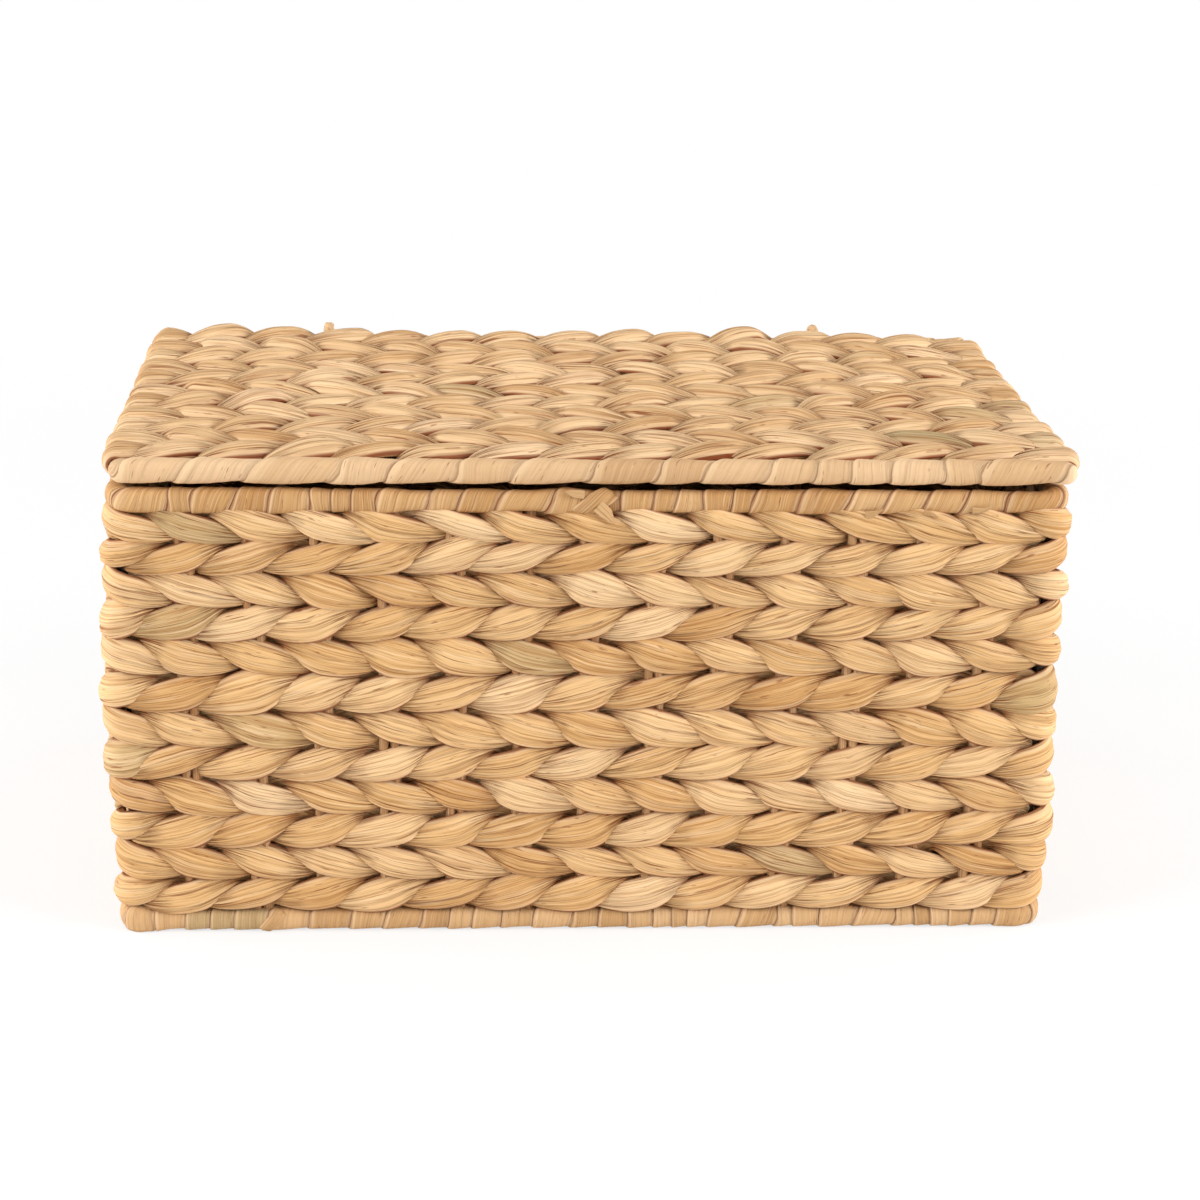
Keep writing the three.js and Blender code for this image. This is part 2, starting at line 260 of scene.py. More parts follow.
# The top rim's ribbon is more golden than the lid's, and also darker as painted shadow of the overhanging
# lid
RIM_GOLD_AND_SHADOW_STOPS = [
    (0.0, (172, 124, 75)), (0.3, (196, 150, 97)), (0.65, (208, 164, 111)), (1.0, (222, 181, 131)),
]
BASE_STOPS = [
    (0.0, (184, 140, 94)), (0.3, (206, 164, 114)), (0.65, (219, 178, 129)), (1.0, (232, 194, 148)),
]
WARP_STOPS = [(0.0, (176, 126, 82)), (0.5, (196, 149, 102)), (1.0, (214, 170, 124))]
GREEN_STRAW = (176, 158, 116)
DARK_STRAW = (152, 94, 42)
PALE_STRAW = (246, 214, 172)
DARK_WARP = (138, 92, 54)
PALE_WARP = (236, 206, 166)
BROWN_AND_SHADE = (0.84, 0.58, 0.34)  # of a dark straw's red, green and blue, what is left in its nicks and browner ends, and in the painted shade of its creases, pleats and edges
FIBRE_SHINE = 0.12
# dark brown steel; the bits seen through the weave stand in for painted shade of the holes
WIRE_AND_HOLE_SHADE_STOPS = [(0.3, (42, 34, 27)), (0.55, (58, 47, 37)), (0.75, (82, 56, 36))]


def fibre_material(
    name, stops, fine_scale, bump_depth, dark=DARK_STRAW, pale=PALE_STRAW,
    streaks=0.5, pinch_share=0.6, outline=0.0,
):
    """Dry plant fibre: lengthwise streaks, darker and paler patches, dark nicks, browner pinched ends
    that carry painted shade where a strand goes in behind others, painted shade in its pleats and along
    its edges, and a painted highlight just inside its edges.
    fine_scale is how many streaks fit in a metre of a strand and in half its width. streaks,
    pinch_share and outline are how strong the streaks, the browner shaded ends and the painted shade
    along the edges are."""
    made, tree = new_material(name)
    fibre = add_node(tree, "ShaderNodeUVMap", uv_map="fibre").outputs[0]
    parts = add_node(tree, "ShaderNodeSeparateXYZ", {0: fibre})
    tint, pinch, seed, green = (
        add_node(tree, "ShaderNodeAttribute", attribute_name=key).outputs["Fac"]
        for key in ("tint", "pinch", "seed", "green")
    )

    def share_of(mask, amount):
        return math_node(tree, "MULTIPLY", mask, amount)

    def streak(along, across, shift, detail=2.0, rough=0.5):
        """Noise drawn out along the strand. shift keeps one kind of streak apart from another."""
        drawn = {
            0: share_of(parts.outputs[0], along),
            1: share_of(parts.outputs[1], across),
            2: math_node(tree, "ADD", seed, shift),
        }
        place = add_node(tree, "ShaderNodeCombineXYZ", drawn).outputs[0]
        inputs = {"Vector": place, "Scale": 1.0, "Detail": detail, "Roughness": rough}
        return add_node(tree, "ShaderNodeTexNoise", inputs).outputs["Fac"]

    along, across = fine_scale
    fine = streak(along, across, 0.0, 3.0, 0.62)
    broad = streak(along * 0.6, across * 0.2, 11.0)
    thread = streak(along * 1.3, across * 2.0, 23.0)
    nick = streak(along * 5.0, across * 0.9, 37.0)
    breaks = streak(along * 1.5, across * 0.5, 71.0, 1.0)
    near_end = ranged(tree, pinch, 0.08, 0.5)
    shown = math_node(tree, "MAXIMUM", share_of(ranged(tree, breaks, 0.46, 0.56), 0.75), near_end)

    def thin_lines(rate, shift, width, mask):
        """Lines where a drawn-out noise crosses its middle value."""
        field = streak(along * 0.4, across * rate, shift, 1.0)
        off_middle = math_node(tree, "ABSOLUTE", math_node(tree, "SUBTRACT", field, 0.5))
        return share_of(ranged(tree, off_middle, width, 0.3 * width), mask)

    # pleat lines: painted shade in the cracks of the stem's folds
    long_pleats = thin_lines(0.75, 53.0, 0.02, shown)
    end_pleats = thin_lines(1.3, 87.0, 0.026, near_end)
    pleat = math_node(tree, "MAXIMUM", long_pleats, end_pleats)
    # ends are browner where a strand is pinched behind a warp: partly the stem's own brown, partly
    # painted shade of that recess
    ends = share_of(ranged(tree, pinch, 0.5, 1.0), ranged(tree, fine, 0.35, 0.62, 0.45, 1.0))
    off_centre = math_node(tree, "ABSOLUTE", parts.outputs[1])
    # edge is a painted highlight: paler colour just inside a strand's edges
    edge = ranged(tree, off_centre, 0.72, 0.86)
    # rim is painted shade of the gap under a strand's edge, on the side faces that show there
    rim = ranged(tree, off_centre, 0.88, 0.97)
    browner = tuple(c * share for c, share in zip(dark, BROWN_AND_SHADE))
    shade = math_node(tree, "MULTIPLY_ADD", math_node(tree, "SUBTRACT", broad, 0.5), 0.5, tint)

    colour = mixed(tree, green, ramp(tree, shade, stops), linear(GREEN_STRAW))
    layers = (
        (ranged(tree, broad, 0.52, 0.74), 0.5 * streaks, dark),
        (ranged(tree, broad, 0.46, 0.3), 0.6 * streaks, pale),
        (ranged(tree, fine, 0.5, 0.66), 0.8 * streaks, dark),
        (ranged(tree, thread, 0.52, 0.6), 0.7 * streaks, dark),
        (ranged(tree, fine, 0.48, 0.3), streaks, pale),
        # painted highlight just inside the edges
        (edge, 0.4, pale),
        # painted shade along the edges
        (rim, outline, browner),
        # browner ends, partly painted shade where the strand goes in
        (ends, pinch_share, browner),
        # painted shade in the pleats
        (pleat, 1.5 * streaks, browner),
        (ranged(tree, nick, 0.66, 0.74), 0.6, browner),
    )
    for mask, amount, towards in layers:
        colour = mixed(tree, share_of(mask, amount), colour, linear(towards))
    grooves = math_node(tree, "ADD", share_of(fine, -0.6), share_of(thread, -0.3))
    height = math_node(tree, "ADD", grooves, share_of(pleat, -0.5))
    rough = ranged(tree, fine, 0.25, 0.75, 0.5, 0.78)
    looks = {"Base Color": colour, "Roughness": rough, "Specular IOR Level": FIBRE_SHINE}
    bumpy_surface(tree, height, bump_depth, 0.8, looks)
    return made


def wire_material(name):
    """Dark painted steel with rubbed and rusty flecks, dark brown so that where it shows through the
    weave it stands in for the shade of the holes.
    """
    made, tree = new_material(name)
    place = add_node(tree, "ShaderNodeTexCoord").outputs["Object"]
    flecks = {"Vector": place, "Scale": 260.0, "Detail": 4.0}
    mottle = add_node(tree, "ShaderNodeTexNoise", flecks).outputs["Fac"]
    rough = ranged(tree, mottle, 0.3, 0.7, 0.4, 0.65)
    looks = {"Base Color": ramp(tree, mottle, WIRE_AND_HOLE_SHADE_STOPS), "Metallic": 0.6, "Roughness": rough}
    bumpy_surface(tree, mottle, 0.2 * MM, 0.4, looks)
    return made


wall_straw = fibre_material(
    "wall_straw", STRAND_STOPS, (22.0, 7.0), 1.1 * MM, streaks=0.55, pinch_share=0.7, outline=0.8
)
lid_straw = fibre_material(
    "lid_straw", LID_STOPS, (22.0, 8.0), 1.1 * MM, streaks=0.62, pinch_share=0.85, outline=0.9
)
lid_ribbon = fibre_material(
    "lid_ribbon", RIBBON_STOPS, (30.0, 12.0), 0.4 * MM, streaks=0.16, pinch_share=0.5
)
rim_ribbon = fibre_material(
    "rim_ribbon", RIM_GOLD_AND_SHADOW_STOPS, (26.0, 11.0), 0.45 * MM, streaks=0.34, pinch_share=0.95, outline=0.5
)
base_ribbon = fibre_material(
    "base_ribbon", BASE_STOPS, (26.0, 11.0), 0.45 * MM, streaks=0.22, pinch_share=0.7, outline=0.25
)
warp_ribbon = fibre_material(
    "warp_ribbon", WARP_STOPS, (24.0, 5.0), 0.6 * MM, dark=DARK_WARP, pale=PALE_WARP
)
tie_straw = fibre_material("tie_straw", RIBBON_STOPS, (40.0, 4.0), 0.3 * MM)
frame_wire = wire_material("frame_wire")


# Paths that the weave follows
def ring_path(half_x, half_y, radius):
    """Arc length, points and outward normals round a rounded rectangle.
    It starts in the middle of the front left corner."""
    steps = 60
    corners = [(-1, -1, 225, 270), (1, -1, 270, 360), (1, 1, 0, 90), (-1, 1, 90, 180), (-1, -1, 180, 225)]
    points, normals = [], []
    for side_x, side_y, start, stop in corners:
        angle = np.radians(np.linspace(start, stop, steps))
        normal = np.stack([np.cos(angle), np.sin(angle)], axis=1)
        centre = np.array([side_x * (half_x - radius), side_y * (half_y - radius)])
        points.append(centre + radius * normal)
        normals.append(normal)
    points, normals = np.concatenate(points), np.concatenate(normals)
    gaps = np.linalg.norm(np.diff(points, axis=0), axis=1)
    return np.concatenate([[0], np.cumsum(gaps)]), points, normals


ring_length, ring_points, ring_normals = ring_path(HALF_X, HALF_Y, CORNER_RADIUS)
RING_TOTAL = ring_length[-1]


def on_ring(place):
    """Points and outward normals at arc lengths round the walls' middle, at height 0."""
    place = np.mod(place, RING_TOTAL)

    def spread(values):
        flat = [np.interp(place, ring_length, values[:, i]) for i in (0, 1)]
        return np.stack([*flat, np.zeros_like(place)], axis=-1)

    return spread(ring_points), unit(spread(ring_normals))


def stake_lengths():
    """Arc length of each corner post and warp round the walls, with the first post again at the end."""
    quarter = CORNER_RADIUS * math.pi / 4
    places, start = [], 0.0
    for half, spaces in ((HALF_X, FRONT_SPACES), (HALF_Y, SIDE_SPACES)) * 2:
        places.append(start)
        for number in range(1, spaces):
            places.append(start + quarter + number * 2 * half / spaces - CORNER_RADIUS)
        start += 2 * quarter + 2 * (half - CORNER_RADIUS)
    return np.array(places + [start])


STAKES = stake_lengths() * RING_TOTAL / stake_lengths()[-1]
ROUND_STAKES = len(STAKES) - 1
# Behind this warp of the back wall a strand's ends meet
BACK_STAKE = FRONT_SPACES + SIDE_SPACES + FRONT_SPACES // 2


# Twined strands
EDGE_POWER = 4.6  # a round stem has 2, a flat one with crisp edges more
CREASES = ((5, 0.12), (8, 0.12), (11, 0.07))  # how many go round a stem, and their share of its size
CREASE_MIDDLE = 0.64  # about a crease's mean height, so that creases keep a stem's size
CREASE_WIDENS = 0.3  # of what a crease adds to the depth, what it adds to the width


def strand(
    mesh, rng, centre, out, half_width, half_depth, roll, lobes, closed, tint, pinch, points,
    green=0.0, curl=0.0, folds=1.0,
):
    """A stem along a centre line, flattened against out, with creases that drift along it.
    lobes counts stitches along it, and its edges curl away from out by curl."""
    if closed:
        tangent = np.roll(centre, -1, axis=0) - np.roll(centre, 1, axis=0)
    else:
        tangent = np.gradient(centre, axis=0)
    tangent = unit(tangent)
    side = unit(np.cross(out, tangent))
    normal = np.cross(tangent, side)
    turned_side = side * np.cos(roll)[:, None] + normal * np.sin(roll)[:, None]
    turned_normal = normal * np.cos(roll)[:, None] - side * np.sin(roll)[:, None]
    angle = 2 * math.pi * np.arange(points) / points
    across = np.cos(angle)
    height = np.sign(np.sin(angle)) * (1 - np.abs(across) ** EDGE_POWER)
    rings = len(centre)
    bend = np.zeros(rings) + curl
    crease = np.zeros((rings, points))
    places = math.ceil(lobes.max()) + 2
    for waves, size in CREASES:
        phase = np.cumsum(rng.normal(0, 0.7, places)) + rng.uniform(0, 6.28)
        strength = folds * size * rng.uniform(0.4, 1.3, places)
        moving = between(phase, lobes, False)[:, None]
        fold = np.abs(np.sin((waves * angle + moving) / 2)) - CREASE_MIDDLE
        crease += between(strength, lobes, False)[:, None] * fold
    aside = across * half_width[:, None] * (1 + CREASE_WIDENS * crease)
    above = height * half_depth[:, None] * (1 + crease) - across**2 * bend[:, None]
    surface = (
        centre[:, None, :]
        + turned_side[:, None, :] * aside[:, :, None]
        + turned_normal[:, None, :] * above[:, :, None]
    )
    faces, rows, columns = grid(rings, points, closed, True)
    steps = np.linalg.norm(np.diff(centre, axis=0, append=centre[:1]), axis=1)
    along = np.concatenate([[0], np.cumsum(steps)])
    fibre = np.stack([along[rows], np.append(across, 1.0)[columns]], axis=-1)
    paint = np.zeros(rings) + green
    seed = rng.uniform(0, 90)
    mesh.add(surface, faces, fibre, tint[:, None], pinch[:, None], seed, paint[:, None])


GREEN_CHANCE = 0.025  # that a stitch stayed greenish
# Stitches that did: for a course, the warp that the stitch crosses and how green it is
GREENISH = {
    "wall_course_12": (1, 0.6), "lid_course_06": (5, 0.5), "lid_course_05": (10, 0.45),
    "lid_course_02": (12, 0.8),
}


def by_hand(rng, course, count, place, twin, closed):
    """Hand-made differences from stitch to stitch, along a strand of a course."""
    stitches = (count + 1) // 2
    changing = {
        "width": 1 + rng.normal(0, 0.085, count),
        "depth": 1 + rng.normal(0, 0.1, count),
        "lift": rng.normal(0, 0.42 * MM, count),
        "swell": rng.normal(0, 0.45 * MM, count),
        "roll": rng.normal(0, 0.07, count),
    }
    tint = rng.beta(2.6, 2.3, stitches)
    greenish = rng.uniform(0, 1, stitches) < GREEN_CHANCE
    green = np.where(greenish, rng.uniform(0.2, 0.55, stitches), 0.0)
    if course in GREENISH:
        warp, share = GREENISH[course]
        if warp % 2 == twin:
            green[warp // 2] = share
    hand = {key: between(values, place, closed) for key, values in changing.items()}
    hand["tint"], hand["green"] = (held(values, place, twin, closed) for values in (tint, green))
    return hand


# Sizes of a stitch in mm: half widths over a warp, behind one and at the ends, half depths at the
# middle and at the ends, and how far its centre line stands out, rises and tilts
WALL_STITCH = dict(wide=7.3, inner=6.4, tip=3.5, depth=2.6, edge=2.4, out=4.4, rise=4.5, tilt=1.4)
LID_STITCH = dict(wide=8.5, inner=7.8, tip=3.3, depth=3.0, edge=2.4, out=4.9, rise=7.2, tilt=1.6)
FLOOR_STITCH = dict(wide=10.4, inner=9.0, tip=6.6, depth=1.7, edge=1.5, out=2.6, rise=5.2, tilt=0.7)
WALL_CURL = 0.3  # of its height, how far a stitch's edges curl down
PANEL_CURL = 0.5
PANEL_FOLDS = 2.2  # how much deeper the creases of the lid and the floor are
STITCH_LEAN = 0.11  # angle by which the lower edge of a stitch stands out over the next course
TIP_SHARE = 0.8  # of the way from warp to warp that the lower end of a stitch stays outside
TAIL_SHARE = 0.54  # the same for the upper end, which lies under the next stitch
STITCH_STEPS = 18
STRAND_POINTS = 32
WALL_WANDER = 0.35 * MM  # how much a course wanders off its line
PANEL_WANDER = 0.7 * MM
WALL_DRIFT = 0.05  # of a space, how much a stitch lies to one side of its warp
PANEL_DRIFT = 0.07
WALL_SEED = 100


def swing(stitch, place, twin, slant, fade):
    """How far a strand stands out, rises and spreads on its way over one warp and behind the next.
    The lower end of a stitch, its tip, lies over its neighbour before it turns in."""
    # step is 0 over a warp, and behind the next warps it is 1 at the tip and -1 at the tail
    step = slant * (np.mod(place - twin + 1, 2) - 1)
    outside = (step > -TAIL_SHARE) & (step < TIP_SHARE)
    near = step / np.where(step > 0, TIP_SHARE, TAIL_SHARE)
    # behind is -1 where the tip goes in and 1 where the tail comes out
    behind = np.where(step > 0, step, step + 2) - (2 + TIP_SHARE - TAIL_SHARE) / 2
    behind = behind / (1 - (TIP_SHARE + TAIL_SHARE) / 2)
    bow = np.maximum(np.cos(math.pi / 2 * np.where(outside, near, behind)), 0)
    over_lean = 0.6 * near + 0.4 * np.sin(math.pi / 2 * near)
    lean = np.where(outside, over_lean, -np.sin(math.pi / 2 * behind))
    out = np.where(outside, 1, -1) * stitch["out"] * bow**0.7
    out = out + np.where(outside, stitch["tilt"] * step * bow**0.4, 0)
    rise = -stitch["rise"] * lean * fade
    wide = np.where(outside, stitch["wide"], stitch["inner"])
    width = stitch["tip"] + (wide - stitch["tip"]) * bow ** np.where(outside, 0.95, 0.8)
    depth = stitch["edge"] + (stitch["depth"] - stitch["edge"]) * bow
    # pinch is 1 where the strand turns in behind a warp and 0 where it stands farthest out, and less on a
    # tip that lies over its neighbour. The material paints the stem browner there, partly its own brown
    # and partly painted shade of the recess
    pinch = np.where(outside & (step > 0), 0.7, 1.0) * (1 - bow)
    return out * MM, rise * MM, width * MM, depth * MM, pinch


def lean_of(out, stitch):
    """The lean of a stitch, all of it where the stitch is farthest out and none where it turns in."""
    return STITCH_LEAN * np.clip(out / (stitch["out"] * MM), -1, 1)


# For each end: its side, how far it bulges, and the shares of its height where and over which it does
BULGES = ((-1, 4.4 * MM, 0.5, 0.5), (1, 2.2 * MM, 0.3, 0.3))
BULGE_REACH = 80 * MM  # along the front and the back, from each end


def bulge(points, level):
    """Pushes the soft walls out at their left and right ends."""
    for side, most, height, reach in BULGES:
        up = np.clip(np.abs(level / RIM_Z - height) / reach, 0, 1)
        near = np.clip((side * points[:, 0] - HALF_X) / BULGE_REACH + 1, 0, 1)
        points[:, 0] += side * most * (1 - eased(up)) * eased(near)


SPREAD = 0.013  # how much farther apart the courses lie, so the end ones tuck under the rims
# By hand the courses are beaten up unevenly: closer near the rim, looser above the middle
COURSE_RISES = MM * np.array([1.8, 1.6, 1.8, 2.0, 2.0, 2.6, 3.8, 4.8, 4.8, 4.2, 3.2, 1.6])
even_levels = np.array([middle(course_name("wall", n))[0].z for n in range(1, WALL_COURSES + 1)])
COURSE_LEVELS = even_levels + SPREAD * (even_levels - (RIM_Z + BASE_Z) / 2) + COURSE_RISES
COURSE_SIZES = np.gradient(COURSE_LEVELS) / np.diff(even_levels).mean()


def wall_course(number):
    """One course of the walls: two strands, each closed behind a warp of the back."""
    name = course_name("wall", number)
    rng = np.random.default_rng(WALL_SEED + number)
    level = COURSE_LEVELS[number - 1]
    stands = 0 if number == WALL_COURSES else 1  # the top course lies flat below the rim
    slant = 1 if number % 2 == 0 else -1
    mesh = Mesh()
    wander = rng.normal(0, WALL_WANDER, ROUND_STAKES)
    for twin in (0, 1):
        place = BACK_STAKE + twin + np.arange(ROUND_STAKES * STITCH_STEPS) / STITCH_STEPS
        hand = by_hand(rng, name, ROUND_STAKES, place, twin, True)
        over = np.cos(math.pi * (place + twin))
        shifted = place + between(rng.normal(0, WALL_DRIFT, ROUND_STAKES), place, True)
        arc = np.interp(shifted % ROUND_STAKES, np.arange(ROUND_STAKES + 1), STAKES)
        base, outward = on_ring(arc)
        out, rise, width, depth, pinch = swing(WALL_STITCH, place, twin, slant, 1.0)
        width = width * hand["width"] * COURSE_SIZES[number - 1]
        depth = depth * hand["depth"]
        out = out + hand["swell"] * over
        rise = rise + hand["lift"] + between(wander, place, True)
        centre = base + outward * out[:, None]
        centre[:, 2] = level + rise
        bulge(centre, level)
        roll = hand["roll"] - stands * lean_of(out, WALL_STITCH)
        strand(
            mesh, rng, centre, outward, width, depth, roll, place, True, hand["tint"], pinch,
            STRAND_POINTS, hand["green"], WALL_CURL * out,
        )
    mesh.piece(name + "_twining", wall_straw, "body", "twined_strand", name)


def crown(x, y):
    """How much the lid's top rises above its middle level or sinks below it, towards the back."""
    places = LID_HALF_X * np.array([-1.0, -0.78, -0.5, -0.3, 0.0, 0.35, 0.55, 0.7, 0.85, 1.0])
    rises = MM * np.array([4.6, 4.4, 1.8, 1.2, 2.4, 2.2, 4.2, 3.0, -1.0, -2.4])
    return np.interp(x, places, rises) * np.clip((y / HALF_Y + 1) / 2, 0, 1) ** 2


def lid_skew(x, y):
    """How far the soft right side of the lid runs out towards the front."""
    near = np.clip(2 * x / LID_HALF_X - 1, 0, 1) ** 2
    places = [-1.0, -0.7, -0.3, 0.2, 1.0]
    runs = MM * np.array([4.6, 2.4, -0.6, -1.0, -1.0])
    return near * np.interp(y / HALF_Y, places, runs)


# What differs between the lid and the floor. Their strands turn round the side wires at half_x, where
# the loops stand to one side by lean and every other one reaches farther by loop_reach
LID_PANEL = {
    "kind": "lid", "body": "lid", "material": lid_straw, "stitch": LID_STITCH, "seed": 500,
    "half_x": LID_HALF_X - 1.2 * MM, "lean": 1.2 * MM, "loop_reach": 0.9 * MM,
    "steps": STITCH_STEPS, "points": STRAND_POINTS,
}
FLOOR_PANEL = {
    "kind": "floor", "body": "body", "material": wall_straw, "stitch": FLOOR_STITCH, "seed": 800,
    "half_x": floor_half.x - 2.6 * MM, "lean": 0.6 * MM, "loop_reach": 0.0,
    "steps": 10, "points": 14,
}
LOOP_SIZE = 1.22  # width of a loop beside a stitch's, and what every other one has more or less
LOOP_DIFFERENCE = 0.12
LOOP_LEAST = 5.8 * MM  # half width that no loop falls below
LOOP_UNEVEN = 0.5 * MM
LOOP_STEPS = 12
END_SLANT = 0.5  # shares of a stitch's slant, depth and height that are left beside a loop
END_DEPTH = 0.8
END_OUT = 0.82


def panel_course(panel, number):
    """One course of the lid or the floor: a strand along the warps, round a side wire and back below.
    At each side every other loop is the broader one, and those between reach farther."""
    kind, stitch, steps = panel["kind"], panel["stitch"], panel["steps"]
    rng = np.random.default_rng(panel["seed"] + number)
    name = course_name(kind, number)
    course_middle, _ = middle(name)
    slant = 1 if number % 2 == 0 else -1
    places = FRONT_SPACES
    straight = np.linspace(0, places, places * steps + 1)
    wander = rng.normal(0, PANEL_WANDER, places + 1)
    side_of_warp = np.where(np.arange(places + 1) < places / 2, -1, 1)
    loop_size = LOOP_SIZE + LOOP_DIFFERENCE * slant * side_of_warp
    lean = slant * panel["lean"] * np.where(straight < places / 2, -1, 1)
    halves = []
    for twin in (0, 1):
        above = 1.0 if twin == 0 else -1.0
        place = straight if twin == 0 else straight[::-1]
        hand = by_hand(rng, name, places + 1, place, twin, False)
        over = np.cos(math.pi * (place + twin))
        fade = eased(np.clip(np.minimum(place, places - place), 0, 1))
        size = 1 + (between(loop_size, place, False) - 1) * (1 - fade)
        slanted = END_SLANT + (1 - END_SLANT) * fade if twin == 0 else fade
        out, rise, width, depth, pinch = swing(stitch, place, twin, slant, slanted)
        width = np.maximum(width * hand["width"] * size, LOOP_LEAST * (1 - fade**2))
        depth = depth * hand["depth"] * (END_DEPTH + (1 - END_DEPTH) * fade)
        leaning = lean if twin == 0 else -lean[::-1]
        rise = rise + between(wander, place, False) + leaning * (1 - fade)
        rise = rise + hand["lift"] * fade
        out = out * (END_OUT + (1 - END_OUT) * fade) + hand["swell"] * over * fade
        drift = between(rng.normal(0, PANEL_DRIFT, places + 1), place, False) * fade
        x = (-1 + 2 * (place + drift) / places) * panel["half_x"]
        centre = np.stack([x, course_middle.y + rise, course_middle.z + out], axis=1)
        if kind == "lid":
            centre[:, 0] += lid_skew(x, centre[:, 1])
            centre[:, 2] += crown(x, centre[:, 1]) * np.clip(out / (stitch["out"] * MM), 0, 1)
        up = np.tile(UP * above, (len(place), 1))
        roll = (hand["roll"] - above * lean_of(out, stitch)) * fade
        curl = PANEL_CURL * above * out
        halves.append(
            (centre, up, width, depth, roll, hand["tint"], pinch, place, hand["green"], curl)
        )
    runs = []
    turn = np.arange(1, LOOP_STEPS) / LOOP_STEPS
    for run, after, end in ((halves[0], halves[1], 1), (halves[1], halves[0], -1)):
        runs.append(run)
        # the loop round the side wire, from above it to below it or back
        leaving, arriving = run[0][-1], after[0][0]
        height = (leaving[2] - arriving[2]) / 2
        farther = panel["loop_reach"] * (1 - end * slant) / 2
        reach = np.abs(height) + farther + abs(rng.normal(0, LOOP_UNEVEN))
        turned = leaving + (arriving - leaving) * turn[:, None]
        turned[:, 0] += end * reach * np.sin(math.pi * turn)
        turned[:, 2] = (leaving[2] + arriving[2]) / 2 + height * np.cos(math.pi * turn)
        outward = end * np.sin(math.pi * turn)
        upward = np.sign(height) * np.cos(math.pi * turn)
        facing = np.stack([outward, 0 * turn, upward], axis=1)
        blends = [run[i][-1] + (after[i][0] - run[i][-1]) * eased(turn) for i in range(2, len(run))]
        runs.append((turned, facing, *blends))
    # the strand's ends meet where it goes in between two warps
    hidden = round((TIP_SHARE if slant > 0 else TAIL_SHARE) * steps)
    joined = [np.roll(np.concatenate(parts), -hidden, axis=0) for parts in zip(*runs)]
    centre, facing, width, depth, roll, tint, pinch, place, green, curl = joined
    mesh = Mesh()
    strand(
        mesh, rng, centre, facing, width, depth, roll, place, True, tint, pinch, panel["points"],
        green, curl, PANEL_FOLDS,
    )
    mesh.piece(name + "_twining", panel["material"], panel["body"], "twined_strand", name)


for number in range(1, WALL_COURSES + 1):
    wall_course(number)
for number in range(1, LID_COURSES + 1):
    panel_course(LID_PANEL, number)
for number in range(1, FLOOR_COURSES + 1):
    panel_course(FLOOR_PANEL, number)


# Ribbon wound round the rims
RIM_POWER = 2.5  # a round rim has 2, a squarer one more
RIBBON_SLANT = -1
RIBBON_POINTS = 26
LOOSE_DEPTH = 0.35 * MM  # half the thickness of a loose end
LOOSE_POINTS = 16
CROSSING_LIFT = 1.5 * MM
CROSSING_PLEATS = 0.12 * MM
CROSSING_TINT = 0.35


def loose_end(mesh, rng, path, half_widths, facing, tint):
    """A loose end of ribbon along a few places, in mm."""
    steps = 8 * (len(path) - 1) + 1
    t = np.linspace(0, len(path) - 1, steps)
    knots = np.arange(len(path))
    centre = np.stack([np.interp(t, knots, [p[i] for p in path]) for i in range(3)], axis=1)
    for _ in range(4):
        centre[1:-1] = (centre[:-2] + 2 * centre[1:-1] + centre[2:]) / 4
    width = np.interp(t, knots, half_widths) * MM
    out = np.tile(unit(np.array(facing, float)), (steps, 1))
    strand(
        mesh, rng, centre * MM, out, width, np.full(steps, LOOSE_DEPTH), np.zeros(steps), t, False,
        np.full(steps, tint), np.zeros(steps), LOOSE_POINTS,
    )


def squared(angle):
    """How far a slightly square rim reaches at an angle, beside a round one."""
    both = np.abs(np.cos(angle)) ** RIM_POWER + np.abs(np.sin(angle)) ** RIM_POWER
    return both ** (-1 / RIM_POWER)


def around(path, length, angle, reach_out, reach_up):
    """Points round a path, at angles that are 0 where they face out."""
    centre, out = path(length)
    aside, above = reach_out * np.cos(angle), reach_up * np.sin(angle)
    return centre + out * aside[:, :, None] + UP * above[:, :, None]


def crossing_turn(mesh, rng, path, middle_place, run, sweep, half_width, radii):
    """A turn of ribbon that climbs over the others on the slant, along run and round by sweep."""
    rows, columns = 40, 17
    u = np.linspace(-0.5, 0.5, rows)[:, None]
    v = np.linspace(-1, 1, columns)[None, :]
    rise = sweep * radii[1]
    slope = math.hypot(run, rise)
    length = middle_place + u * run - v * half_width * rise / slope
    angle = (u * rise + v * half_width * run / slope) / radii[1]
    lift = CROSSING_LIFT * (1 - np.abs(v) ** 6) * (1 - np.abs(2 * u) ** 10)
    pleats = CROSSING_PLEATS * np.sin(9 * v + rng.uniform(0, 6) + 2 * u)
    reaches = (radius * squared(angle) + lift + pleats for radius in radii)
    surface = around(path, length, angle, *reaches)
    faces, face_rows, face_columns = grid(rows, columns, False, False)
    fibre = np.stack([u[face_rows, 0] * slope, v[0, face_columns]], axis=-1)
    # the crossing turn's ends, where it goes under, get the same painted shade
    mesh.add(surface, faces, fibre, CROSSING_TINT, np.abs(2 * u) ** 4 * 0.5, rng.uniform(0, 90))


